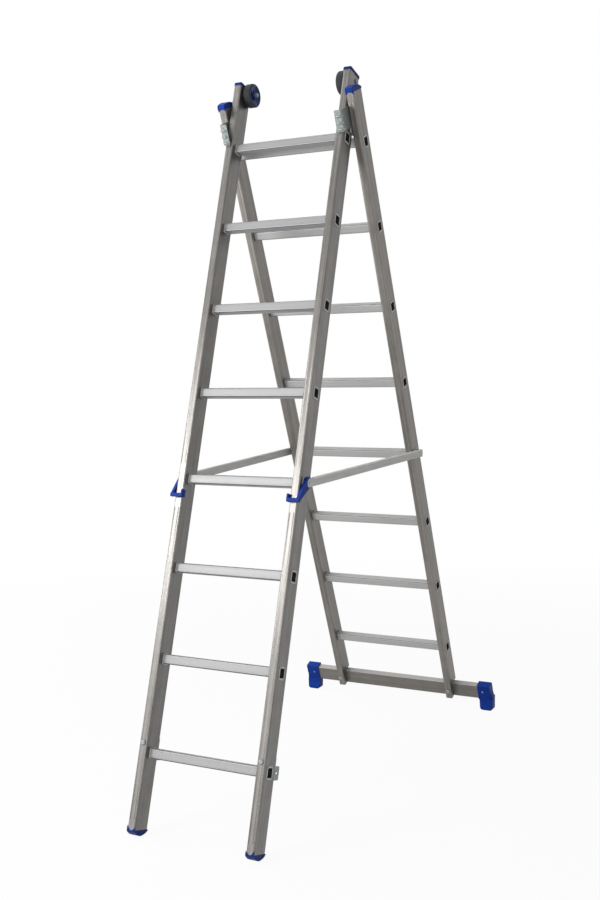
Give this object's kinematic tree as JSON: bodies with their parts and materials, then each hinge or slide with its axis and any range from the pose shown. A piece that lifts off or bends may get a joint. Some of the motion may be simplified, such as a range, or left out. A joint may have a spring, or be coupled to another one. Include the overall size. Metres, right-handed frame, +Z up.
{
  "type": "combination ladder",
  "caption": "Aluminium combination ladder standing open as an A-frame: two hinged rung sections, hooked tie bars, top rollers, blue end caps and a wide stabiliser bar.",
  "frame": {"origin": "on the floor, midway between the front feet and the stabiliser shoes and on the middle plane", "axes": "+X to the right as seen from the front, +Y from the front section to the back section, +Z up"},
  "size_m": [0.808, 1.5992, 2.3241],
  "materials": {
    "stile_aluminium": "mill-finish extrusion with fine lengthwise streaks",
    "rung_aluminium": "mill-finish grooved extrusion",
    "blue_plastic": "moulded royal blue, fine grain",
    "hub_plastic": "moulded royal blue, smooth",
    "tyre_rubber": "dark grey moulded rubber",
    "zinc_plate": "bright zinc plating on pressed steel",
    "bolt_steel": "zinc-plated steel",
    "bush_plastic": "natural nylon"
  },
  "bodies": {
    "back_section": {"back_stile_left": "stile_aluminium", "back_stile_right": "stile_aluminium", "back_rung_1": "rung_aluminium", "back_rung_2": "rung_aluminium", "back_rung_3": "rung_aluminium", "back_rung_4": "rung_aluminium", "back_rung_5": "rung_aluminium", "back_rung_6": "rung_aluminium", "back_rung_7": "rung_aluminium", "back_rung_8": "rung_aluminium", "back_cap_left": "blue_plastic", "back_cap_right": "blue_plastic", "guide_bracket_left": "zinc_plate", "guide_bracket_right": "zinc_plate", "guide_rivets": "bolt_steel", "pivot_stud_left": "bolt_steel", "pivot_stud_right": "bolt_steel", "stabiliser_bar": "stile_aluminium", "stabiliser_shoe_left": "blue_plastic", "stabiliser_shoe_right": "blue_plastic", "stabiliser_bolts": "bolt_steel", "stabiliser_nuts": "bolt_steel", "shoe_rivets": "bolt_steel", "tie_pivot_left": "bolt_steel", "tie_pivot_right": "bolt_steel"},
    "front_section": {"front_stile_left": "stile_aluminium", "front_stile_right": "stile_aluminium", "front_rung_1": "rung_aluminium", "front_rung_2": "rung_aluminium", "front_rung_3": "rung_aluminium", "front_rung_4": "rung_aluminium", "front_rung_5": "rung_aluminium", "front_rung_6": "rung_aluminium", "front_rung_7": "rung_aluminium", "front_rung_8": "rung_aluminium", "front_cap_left": "blue_plastic", "front_cap_right": "blue_plastic", "front_foot_left": "blue_plastic", "front_foot_right": "blue_plastic", "rung_hook_left": "zinc_plate", "rung_hook_right": "zinc_plate", "hook_bolts": "bolt_steel", "hook_nuts": "bolt_steel", "pivot_bush_left": "bush_plastic", "pivot_bush_right": "bush_plastic", "wheel_axle_left": "bolt_steel", "wheel_axle_right": "bolt_steel", "wheel_nuts": "bolt_steel", "wheel_spacers": "bolt_steel"},
    "wheel_left": {"wheel_hub_left": "hub_plastic", "wheel_tyre_left": "tyre_rubber"},
    "tie_left": {"tie_bar_left": "stile_aluminium", "bar_hook_left": "blue_plastic", "tie_rivet_left": "bolt_steel"},
    "wheel_right": {"wheel_hub_right": "hub_plastic", "wheel_tyre_right": "tyre_rubber"},
    "tie_right": {"tie_bar_right": "stile_aluminium", "bar_hook_right": "blue_plastic", "tie_rivet_right": "bolt_steel"}
  },
  "joints": [
    {"name": "fold", "type": "hinge", "parent": "back_section", "child": "front_section", "pos_m": [0, -0.05575, 2.12153], "axis": [1, 0, 0], "range_deg": [0, 38]},
    {"name": "tie_left_swing", "type": "hinge", "parent": "back_section", "child": "tie_left", "pos_m": [-0.258, 0.38761, 1.04498], "axis": [-0.9988, -0.0444, -0.0228], "range_deg": [0, 64.5]},
    {"name": "tie_right_swing", "type": "hinge", "parent": "back_section", "child": "tie_right", "pos_m": [0.258, 0.38761, 1.04498], "axis": [-0.9988, 0.0444, 0.0228], "range_deg": [0, 64.5]},
    {"name": "wheel_left_spin", "type": "hinge", "parent": "front_section", "child": "wheel_left", "pos_m": [-0.17175, -0.01163, 2.28279], "axis": [1, 0, 0], "continuous": true},
    {"name": "wheel_right_spin", "type": "hinge", "parent": "front_section", "child": "wheel_right", "pos_m": [0.17175, -0.01163, 2.28279], "axis": [1, 0, 0], "continuous": true}
  ],
  "couplings": [
    {"joint": "tie_left_swing", "follows": "fold", "ratio": 1.6837},
    {"joint": "tie_right_swing", "follows": "fold", "ratio": 1.6837}
  ]
}
